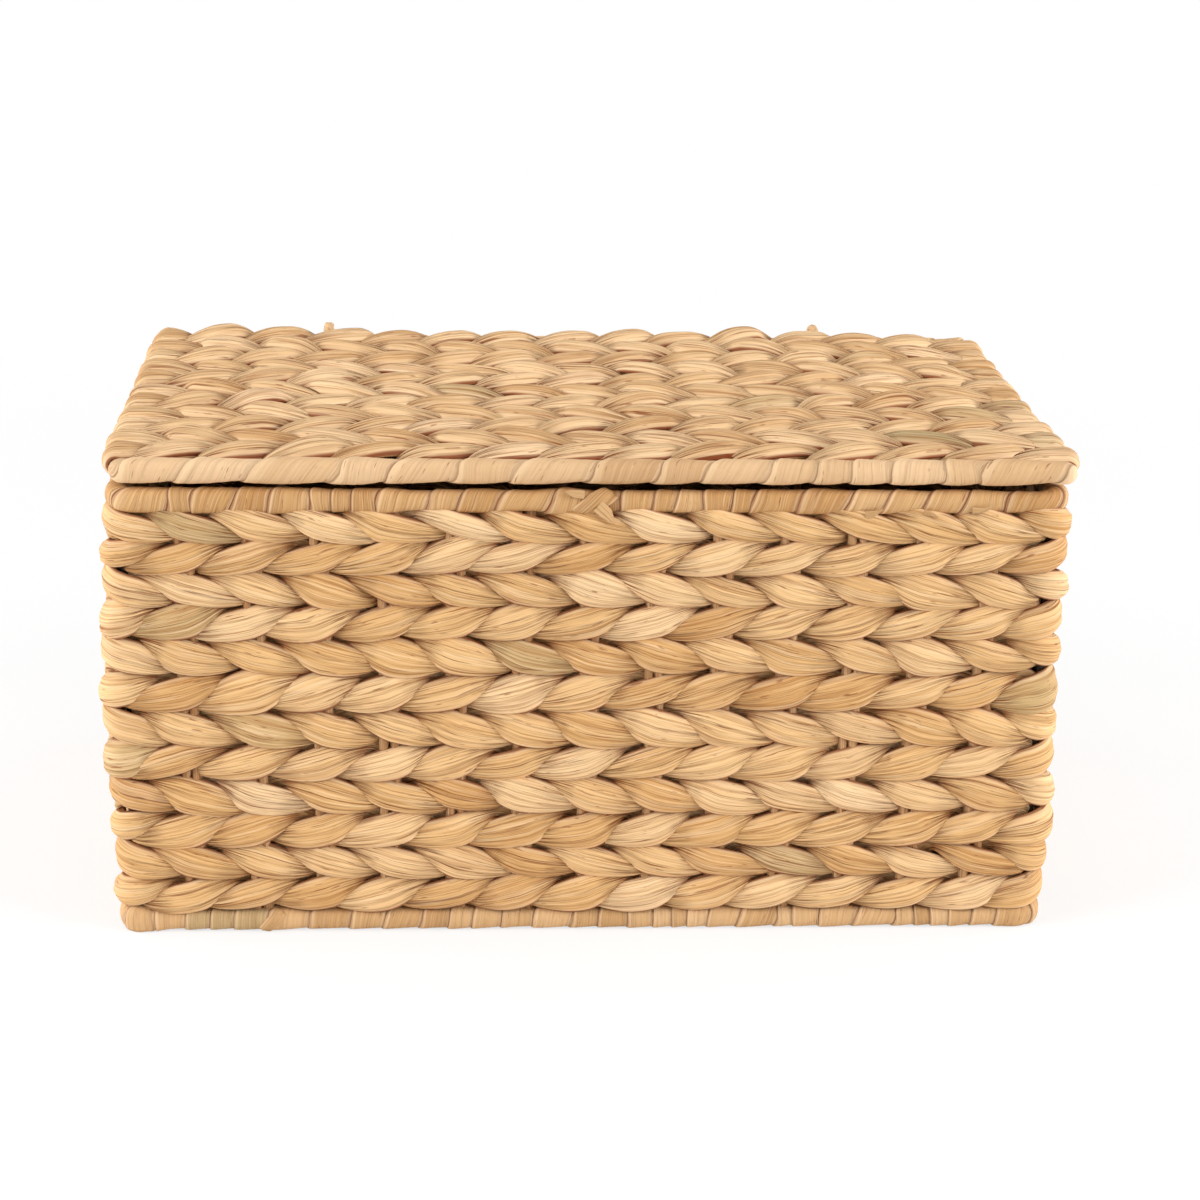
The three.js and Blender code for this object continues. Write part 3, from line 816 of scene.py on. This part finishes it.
def wound_rim(name, node, body, material, path, total, closed, look):
    """Overlapping turns of flat ribbon round a rim, each turn lying on the edge of the last.
    look holds a seed, the turns' pitch, the rim's radii outwards and upwards, the ribbon's thickness,
    the least and most steepness of turns over the face that shows, how much turns differ in size and
    belly out below, lumps as place, reach and growth, greenish stretches, crossing turns as place,
    run, sweep and half width, and loose ends."""
    rng = np.random.default_rng(look["seed"])
    radii = look["radii"]
    turns = round(total / look["pitch"])
    widths = rng.uniform(0.5, 1.5, turns)
    starts = np.concatenate([[0], np.cumsum(widths)]) * total / widths.sum()
    # places across a turn, from its raised edge to the edge under the next turn, and their heights
    shares = np.concatenate([[0.0, 0.03], np.linspace(0.08, 0.985, 20)])
    lifts = np.interp(shares, [0.0, 0.03, 0.1, 1.0], [0.62, 0.95, 1.0, 0.02])
    lead = 0 if closed else 2  # turns beyond each end, for the round caps
    bands = turns + 2 * lead
    turn = np.repeat(np.arange(bands), len(shares))
    share = np.tile(shares, bands)
    lift = np.tile(lifts, bands)
    # an angle of 0 faces out, and the turns join inside
    angle = 2 * math.pi * np.arange(RIBBON_POINTS) / RIBBON_POINTS - math.pi
    band = (turn - lead + share)[:, None] - RIBBON_SLANT * angle[None, :] / (2 * math.pi)
    whole = np.floor(band).astype(int)
    length = (
        starts[whole % turns]
        + (band - whole) * (starts[1:] - starts[:-1])[whole % turns]
        + total * (whole // turns)
    )
    # the turns run steeply over the face that shows, and cross over behind
    steep = between(rng.uniform(*look["steep"], turns), np.mod(length / total, 1) * turns, True)
    sideways = RIBBON_SLANT * steep * look["pitch"] / (2 * math.pi)
    length = length + sideways * np.sin(angle)[None, :]
    size = 1 + rng.normal(0, look["uneven"], turns + 1)
    puff = between(size, np.clip(length / total * turns, 0, turns - 1e-6), False)
    for place, reach, growth in look["lumps"]:
        off = np.abs(np.mod(length - place + total / 2, total) - total / 2)
        puff = puff + growth * np.exp(-((off / reach) ** 2))
    round_off = np.ones_like(length)
    if not closed:
        cap = max(radii)
        over = np.clip(np.maximum(-length, length - total) / cap, 0, 1)
        round_off = np.maximum(np.cos(over * math.pi / 2), 0.04)
        beyond = np.where(over > 0, cap * np.sin(over * math.pi / 2), 0)
        length = np.clip(length, 0, total) + np.where(length < 0, -1, 1) * beyond
    first_ridge = rng.uniform(0, 6.28, bands)
    ridge_rate = rng.uniform(14, 24, bands)
    ridge = first_ridge[turn] + ridge_rate[turn] * share
    wrinkle = 0.1 * np.sin(ridge)[:, None] * np.sin(2 * angle + ridge[:, None])
    raised = look["thickness"] * (lift[:, None] + wrinkle)
    belly = 1 + look["belly"] * np.sin(math.pi * share)[:, None] * np.clip(-np.sin(angle), 0, 1)
    reach_out = (radii[0] * squared(angle) * puff + raised) * round_off
    reach_up = (radii[1] * squared(angle) * puff * belly + raised) * round_off
    surface = around(path, length, angle, reach_out, reach_up)
    shift = -RIBBON_SLANT * len(shares)
    faces, rows, columns = grid(len(turn), RIBBON_POINTS, closed, True, shift)
    faces, rows, columns = faces[:, ::-1], rows[:, ::-1], columns[:, ::-1]
    wide = np.append(share, 0.0) * 2 - 1
    girth = np.append(angle, math.pi) * radii[1]
    fibre = np.stack([girth[columns], wide[rows]], axis=-1)
    tints = rng.beta(2.0, 2.0, bands) * 0.9 + 0.05
    seeds = rng.uniform(0, 90, bands)
    greens = np.zeros(bands)
    for start, stop, share_of_green in look["greens"]:
        near = (starts[:-1] > start) & (starts[:-1] < stop)
        greens[lead : lead + turns][near] = share_of_green
    # pinch darkens each turn towards its edge under the next turn: painted shade of the overlap
    pinch = np.clip((share - 0.8) / 0.2, 0, 1)
    mesh = Mesh()
    painted = (values[:, None] for values in (tints[turn], pinch, seeds[turn], greens[turn]))
    mesh.add(surface, faces, fibre, *painted)
    for end in look["ends"]:
        loose_end(mesh, rng, *end)
    for crossing in look["crossings"]:
        crossing_turn(mesh, rng, path, *crossing, radii)
    mesh.piece(name, material, body, "rim_ribbon", node)


def ring_at(level):
    """A path round the walls at one height: its points and the way outwards."""

    def path(length):
        base, out = on_ring(length)
        return base + UP * level, out

    return path


def straight_at(start, direction, facing):
    """A path from a point in the plane of the lid, straight but for the lid's skew."""

    def path(length):
        base = np.array(start) + length[..., None] * np.array(direction, float)
        base[..., 0] += lid_skew(base[..., 0], base[..., 1])
        return base, np.array(facing, float)

    return path


FRONT_FACING = (0.0, -1.0, 0.15)
FRONT_MM = HALF_Y / MM + 5.6  # the face of the top rim at the front
RIM_MM = RIM_Z / MM


def rim_end(places, half_widths, tint):
    """A loose end on the front of the top rim. Each place is along the rim, out from it and up, in mm."""
    path = [(x, -FRONT_MM - out, RIM_MM + up) for x, out, up in places]
    return path, half_widths, FRONT_FACING, tint


TOP_RIM_ENDS = [
    # the end and the tuft of the broad crossing turn
    rim_end([(2.6, 0.1, -0.8), (6.4, 1.0, -4.0), (9.4, 1.7, -8.2)], [2.8, 2.6, 0.1], 0.75),
    rim_end([(-3, -0.8, 3.6), (-7, 0.2, 4.4), (-11, 0.8, 5.4)], [1.8, 1.7, 0.3], 0.85),
    # short ends that stand off the lower edge
    rim_end([(112, 0, -4.6), (115.5, 0.8, -3.8), (119, 1.3, -1.6)], [1.6, 1.2, 0.2], 0.7),
    rim_end([(136, 0, -3.4), (139, 0.8, -3.6), (142, 1.2, -5.2)], [1.2, 1.0, 0.2], 0.6),
    rim_end([(156, 0, -2.4), (160, 0.8, -2.2), (165, 1.2, -0.6)], [1.4, 0.9, 0.2], 0.8),
]
TOP_LOOK = {
    "seed": 31, "pitch": 15 * MM, "radii": (4.3 * MM, 4.5 * MM), "thickness": 0.55 * MM,
    "steep": (0.1, 1.1), "uneven": 0.08, "belly": 0.0, "lumps": [], "greens": [],
    "crossings": [(STAKES[FRONT_SPACES // 2] + 1 * MM, 15 * MM, 2.5, 4.4 * MM)],
    "ends": TOP_RIM_ENDS,
}
BASE_LOOK = {
    "seed": 32, "pitch": 12.5 * MM, "radii": (4.6 * MM, 4.3 * MM), "thickness": 0.7 * MM,
    "steep": (0.5, 1.3), "uneven": 0.05, "belly": 0.0,
    "lumps": [(0.0, 8 * MM, 0.55), (STAKES[FRONT_SPACES], 8 * MM, 0.25)],
    "greens": [(16 * MM, 52 * MM, 0.55)], "crossings": [(58 * MM, 9 * MM, 2.2, 3.0 * MM)],
    "ends": [],
}
LID_FRONT_LOOK = {
    "seed": 33, "pitch": 24 * MM, "radii": (4.7 * MM, 4.2 * MM), "thickness": 0.9 * MM,
    "steep": (0.35, 0.95), "uneven": 0.05, "belly": 0.16, "lumps": [], "greens": [],
    "crossings": [], "ends": [],
}
# The ribbon at the back is slimmer and even all round, because the ties turn on it
LID_BACK_LOOK = dict(LID_FRONT_LOOK, seed=34, radii=(3.5 * MM, 2.9 * MM), belly=0.0)
TOP_RIM_SINK = 0.4 * MM  # how far below its wire a ribbon's middle lies
LID_BACK_SINK = 0.3 * MM

top_path = ring_at(RIM_Z - TOP_RIM_SINK)
base_path = ring_at(BASE_Z)
wound_rim("top_rim_ribbon", "top_rim_wrap", "body", rim_ribbon, top_path, RING_TOTAL, True, TOP_LOOK)
wound_rim("base_rim_ribbon", "base_rim_wrap", "body", base_ribbon, base_path, RING_TOTAL, True, BASE_LOOK)


def lid_edge(name, node, side, sink, look):
    """The ribbon along the lid's front or back wire, round at both ends."""
    low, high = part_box(node)
    end = high.x - look["radii"][0]
    start = (side * end, (low.y + high.y) / 2, LID_Z - sink)
    path = straight_at(start, (-side, 0, 0), (0, side, 0))
    wound_rim(name, node, "lid", lid_ribbon, path, 2 * end, False, look)


lid_edge("lid_front_ribbon", "lid_front_wrap", -1, 0.0, LID_FRONT_LOOK)
lid_edge("lid_back_ribbon", "lid_back_wrap", 1, LID_BACK_SINK, LID_BACK_LOOK)


# Warps: two ribbons side by side at each place
WARP_HALF = 2.2 * MM  # half width of one ribbon
WARP_DEPTH = 1.6 * MM
WARP_BELLY = 1.7 * MM  # what a wall's ribbons swell by between two courses
WARP_APART = 1.03  # of its half width, how far a ribbon lies from the middle of the pair
WARP_SWAY = 0.3 * MM
WARP_WAVES = 6  # stretches along a warp over which it changes
WARP_POINTS = 12
COURSE_STEPS = 8  # along a wall's warp, to a course
PANEL_WARP_STEPS = 26
LID_WARP_HALF = 1.9 * MM
FLOOR_WARP_DEPTH = 1.4 * MM


def warp_pair(mesh, rng, start, stop, side, facing, half_width, half_depth, belly):
    """Two ribbons from start to stop. belly is what their depth gains on the way."""
    steps = len(belly)
    waves = np.linspace(0, WARP_WAVES, steps)
    flat = np.zeros(steps)
    for half in (-1, 1):
        sway = between(rng.normal(0, WARP_SWAY, WARP_WAVES + 1), waves, False)
        aside = half * half_width * WARP_APART + sway
        centre = np.linspace(start, stop, steps) + np.array(side) * aside[:, None]
        out = np.tile(np.array(facing, float), (steps, 1))
        width = half_width * between(1 + rng.normal(0, 0.05, WARP_WAVES + 1), waves, False)
        depth = half_depth * between(1 + rng.normal(0, 0.06, WARP_WAVES + 1), waves, False) + belly
        tint = np.full(steps, rng.uniform(0.1, 0.9))
        strand(mesh, rng, centre, out, width, depth, flat, waves, False, tint, flat, WARP_POINTS)


def wall_warp(node, spaces, out, half):
    """The uprights of one wall, from the base wire to the rim wire.
    out leads from the box's middle to the wall's, and half from there to the wall's end."""
    rng = np.random.default_rng(sum(map(ord, node)))
    mesh = Mesh()
    heights = np.linspace(BASE_Z, RIM_Z, COURSE_STEPS * WALL_COURSES)
    belly = WARP_BELLY * np.sin(math.pi * np.interp(heights, COURSE_LEVELS, range(WALL_COURSES))) ** 2
    for number in range(1, spaces):
        foot = out - half + half * number * 2 / spaces
        start, stop = foot + UP * BASE_Z, foot + UP * RIM_Z
        warp_pair(mesh, rng, start, stop, unit(half), unit(out), WARP_HALF, WARP_DEPTH, belly)
    mesh.piece(node + "_ribbons", warp_ribbon, "body", "warp_ribbon", node)


def panel_warp(node, half_x, level, body, half_width, depth):
    """The ribbons of the lid or the floor, from the front wire to the back one."""
    rng = np.random.default_rng(sum(map(ord, node)))
    mesh = Mesh()
    belly = np.zeros(PANEL_WARP_STEPS)
    for number in range(1, FRONT_SPACES):
        x = -half_x + number * 2 * half_x / FRONT_SPACES
        start, stop = (x, -HALF_Y, level), (x, HALF_Y, level)
        warp_pair(mesh, rng, start, stop, (1.0, 0, 0), UP, half_width, depth, belly)
    mesh.piece(node + "_ribbons", warp_ribbon, body, "warp_ribbon", node)


to_side, to_back = np.array([HALF_X, 0, 0]), np.array([0, HALF_Y, 0])
wall_warp("front_warp", FRONT_SPACES, -to_back, to_side)
wall_warp("back_warp", FRONT_SPACES, to_back, to_side)
wall_warp("left_warp", SIDE_SPACES, -to_side, to_back)
wall_warp("right_warp", SIDE_SPACES, to_side, to_back)
panel_warp("lid_warp", LID_HALF_X, LID_Z, "lid", LID_WARP_HALF, WARP_DEPTH)
panel_warp("floor_warp", HALF_X, FLOOR_Z, "body", WARP_HALF, FLOOR_WARP_DEPTH)


# Cord ties of the hinge
TIE_HALF = 2.0 * MM  # half the thickness of a tie in the solids
PLY_ASIDE = 1.0 * MM  # how far a ply's middle swings to the side and outwards
PLY_OUT = 0.9 * MM
PLY_RADIUS = 1.5 * MM
PLY_POINTS = 10
CORD_TWISTS = 7
CORD_LOBES = 12  # places round a tie where its creases change
BEND_STEPS = 40
STRAIGHT_STEPS = 14


def cord_tie(node, seed):
    """A twisted cord of two plies round the rim wire and the lid's back wire."""
    rng = np.random.default_rng(seed)
    low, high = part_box(node)
    x = (low.x + high.x) / 2
    radius = (high.y - low.y) / 2 - TIE_HALF
    line = (low.y + high.y) / 2
    turn = np.linspace(0, math.pi, BEND_STEPS)
    bend = np.stack([np.cos(turn), np.sin(turn)], axis=1) * radius
    down = np.linspace((-radius, LID_Z), (-radius, RIM_Z), STRAIGHT_STEPS + 2)[1:-1]
    up = down[::-1] * [-1, 1]
    loop = np.concatenate([bend + [0, LID_Z], down, -bend + [0, RIM_Z], up])
    count = len(loop)
    centre = np.stack([np.full(count, x), line + loop[:, 0], loop[:, 1]], axis=1)
    tangent = unit(np.roll(centre, -1, axis=0) - np.roll(centre, 1, axis=0))
    side = np.tile([1.0, 0, 0], (count, 1))
    out = np.cross(side, tangent)
    steps = np.linalg.norm(np.diff(centre, axis=0, append=centre[:1]), axis=1)
    along = np.concatenate([[0], np.cumsum(steps)[:-1]])
    twist = 2 * math.pi * CORD_TWISTS * along / steps.sum()
    thick, flat = np.full(count, PLY_RADIUS), np.zeros(count)
    lobes = np.linspace(0, CORD_LOBES, count)
    mesh = Mesh()
    for ply in (0, 1):
        turned = (twist + ply * math.pi)[:, None]
        path = centre + side * np.cos(turned) * PLY_ASIDE + out * np.sin(turned) * PLY_OUT
        tint = np.full(count, rng.uniform(0.3, 0.8))
        strand(mesh, rng, path, out, thick, thick, flat, lobes, True, tint, flat, PLY_POINTS)
    mesh.piece(node + "_cord", tie_straw, "hinge_ties", "tie_cord", node)


cord_tie("left_hinge_tie", 61)
cord_tie("right_hinge_tie", 62)

# The wires and posts keep their solids
for name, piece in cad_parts.items():
    if name.endswith(("_wire", "_post")):
        piece.data.materials.clear()
        piece.data.materials.append(frame_wire)


# Floor, light and camera
def floor_material():
    """A white floor that keeps a soft shadow."""
    made, tree = new_material("pale_floor")
    rays = add_node(tree, "ShaderNodeLightPath").outputs
    mirrored = math_node(tree, "MAXIMUM", rays["Is Glossy Ray"], rays["Is Transmission Ray"])
    seen = math_node(tree, "MAXIMUM", rays["Is Camera Ray"], mirrored)
    place = add_node(tree, "ShaderNodeTexCoord").outputs["Object"]
    mottle = add_node(tree, "ShaderNodeTexNoise", {"Vector": place, "Scale": 3.0}).outputs["Fac"]
    pale = mixed(tree, mottle, (0.9, 0.9, 0.9, 1), (0.93, 0.93, 0.93, 1))
    matt = add_node(tree, "ShaderNodeBsdfDiffuse", {"Color": pale})
    glow = add_node(tree, "ShaderNodeEmission", {"Color": (1, 1, 1, 1), "Strength": 1.0})
    reach = add_node(tree, "ShaderNodeVectorMath", {0: place}, operation="LENGTH").outputs["Value"]
    share = math_node(tree, "MULTIPLY", seen, ranged(tree, reach, 0.3, 1.0, 0.7, 1.0))
    both = add_node(tree, "ShaderNodeMixShader", {0: share, 1: matt.outputs[0], 2: glow.outputs[0]})
    add_node(tree, "ShaderNodeOutputMaterial", {0: both.outputs[0]})
    return made


FLOOR_SIZE = 24.0  # metres
floor_mesh = bpy.data.meshes.new("floor")
half = FLOOR_SIZE / 2
floor_mesh.from_pydata(
    [(-half, -half, 0), (half, -half, 0), (half, half, 0), (-half, half, 0)], [], [(0, 1, 2, 3)]
)
floor_mesh.materials.append(floor_material())
floor = bpy.data.objects.new("floor", floor_mesh)
bpy.context.scene.collection.objects.link(floor)

AMBIENT = 0.32  # light of the surroundings, which the camera sees as full white
world = bpy.data.worlds.new("studio")
bpy.context.scene.world = world
world.use_nodes = True
studio = world.node_tree
studio.nodes.clear()
camera_ray = add_node(studio, "ShaderNodeLightPath").outputs["Is Camera Ray"]
strength = math_node(studio, "MULTIPLY_ADD", camera_ray, 1 - AMBIENT, AMBIENT)
sky = add_node(studio, "ShaderNodeBackground", {"Color": (1, 1, 1, 1), "Strength": strength})
add_node(studio, "ShaderNodeOutputWorld", {0: sky.outputs[0]})

LIGHT_TARGET = Vector((0, 0, 0.1))


def area_light(name, place, size, power):
    """A rectangular light of a width and height in metres, turned to the box."""
    lamp = bpy.data.lights.new(name, "AREA")
    lamp.shape = "RECTANGLE"
    lamp.size, lamp.size_y = size
    lamp.energy = power
    made = bpy.data.objects.new(name, lamp)
    made.location = place
    made.rotation_euler = (LIGHT_TARGET - Vector(place)).to_track_quat("-Z", "Y").to_euler()
    bpy.context.scene.collection.objects.link(made)


area_light("left", (-1.8, -0.85, 1.0), (0.9, 1.2), 29)
area_light("right", (1.8, -0.85, 0.9), (0.9, 1.2), 30)
area_light("left_side", (-1.4, 0.35, 0.5), (1.0, 0.9), 8)
area_light("right_side", (1.4, 0.35, 0.5), (1.0, 0.9), 8)
area_light("overhead", (-0.1, -0.3, 1.9), (1.4, 1.0), 8)

lens = bpy.data.cameras.new("camera")
lens.sensor_width = SENSOR
lens.lens = FOCAL_PIXELS / PICTURE * SENSOR
camera = bpy.data.objects.new("camera", lens)
pitch, yaw, roll = (math.radians(a) for a in (CAMERA_PITCH, CAMERA_YAW, CAMERA_ROLL))
camera.matrix_world = (
    Matrix.Translation(CAMERA_PLACE)
    @ Matrix.Rotation(-yaw, 4, "Z")
    @ Matrix.Rotation(math.pi / 2 - pitch, 4, "X")
    @ Matrix.Rotation(-roll, 4, "Z")
)
bpy.context.scene.collection.objects.link(camera)
bpy.context.scene.camera = camera
bpy.context.scene.view_settings.view_transform = "Standard"
